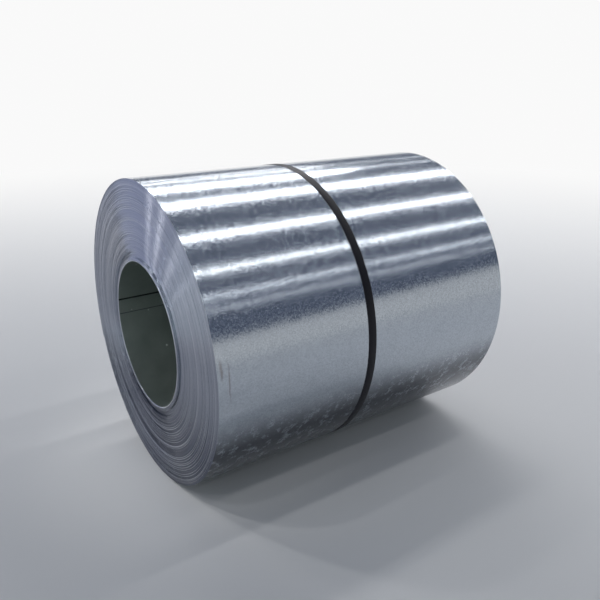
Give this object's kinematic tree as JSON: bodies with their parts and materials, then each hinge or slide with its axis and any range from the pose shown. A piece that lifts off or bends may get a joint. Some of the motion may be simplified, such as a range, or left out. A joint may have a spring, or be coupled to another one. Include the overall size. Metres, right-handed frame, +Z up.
{
  "type": "steel coil",
  "caption": "Coil of galvanised steel strip lying on its side, with an open bore and a flat steel strap crimped round its barrel.",
  "frame": {"origin": "centre of the bore, half way along the coil", "axes": "+Y along the bore's axis, level, away from the end that the picture shows; +Z up"},
  "size_m": [1.0617, 1.209, 1.0618],
  "materials": {
    "galvanised_strip": "bright skin-passed zinc coat, mirror satin, with fine speckle",
    "strap_paint": "black paint with a slight sheen",
    "seal_steel": "black paint, worn at the crimps"
  },
  "bodies": {
    "root": {"coil": "galvanised_strip", "strap": "strap_paint", "strap_seal": "seal_steel"}
  },
  "joints": []
}
